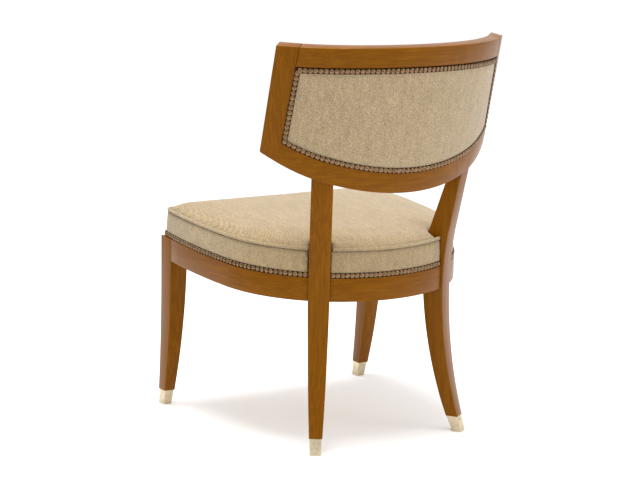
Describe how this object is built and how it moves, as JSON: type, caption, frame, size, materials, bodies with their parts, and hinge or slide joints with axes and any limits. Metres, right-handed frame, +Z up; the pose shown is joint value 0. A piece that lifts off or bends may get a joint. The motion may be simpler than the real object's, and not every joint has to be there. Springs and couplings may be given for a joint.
{
  "type": "klismos side chair",
  "caption": "Klismos side chair with sabre legs, metal ferrules, an upholstered seat and a curved, upholstered back framed in wood with nailhead trim.",
  "frame": {"origin": "middle of the bounding box, on the floor", "axes": "+Z up; the sitter looks along -Y, so the back is at +Y; +X is the sitter's left"},
  "size_m": [0.5838, 0.6353, 0.8722],
  "materials": {
    "show_wood": "honey stain under satin lacquer",
    "frame_wood": "unfinished",
    "plywood": "unfinished",
    "cover_fabric": "beige tweed weave",
    "foam": "foam",
    "nail_heads": "aged",
    "ferrule_brass": "satin",
    "screw_steel": "zinc"
  },
  "bodies": {
    "root": {"front_leg_left": "show_wood", "front_leg_right": "show_wood", "rear_leg_left": "show_wood", "rear_leg_right": "show_wood", "front_rail": "show_wood", "back_rail": "show_wood", "side_rail_left": "show_wood", "side_rail_right": "show_wood", "crest_rail": "show_wood", "lower_back_rail": "show_wood", "end_stile_left": "show_wood", "end_stile_right": "show_wood", "front_corner_block_left": "frame_wood", "front_corner_block_right": "frame_wood", "rear_corner_block_left": "frame_wood", "rear_corner_block_right": "frame_wood", "rail_dowels": "frame_wood", "post_dowels": "frame_wood", "stile_dowels": "frame_wood", "seat_deck": "plywood", "back_panel_board": "plywood", "seat_cover": "cover_fabric", "seat_welt_front": "cover_fabric", "seat_welt_back": "cover_fabric", "outside_back_cover": "cover_fabric", "inside_back_cover": "cover_fabric", "seat_foam": "foam", "inside_back_foam": "foam", "seat_nail_trim_front": "nail_heads", "seat_nail_trim_back": "nail_heads", "outside_nail_trim": "nail_heads", "inside_nail_trim": "nail_heads", "front_ferrule_left": "ferrule_brass", "front_ferrule_right": "ferrule_brass", "rear_ferrule_left": "ferrule_brass", "rear_ferrule_right": "ferrule_brass", "ferrule_pins": "ferrule_brass", "corner_block_screws": "screw_steel"}
  },
  "joints": []
}
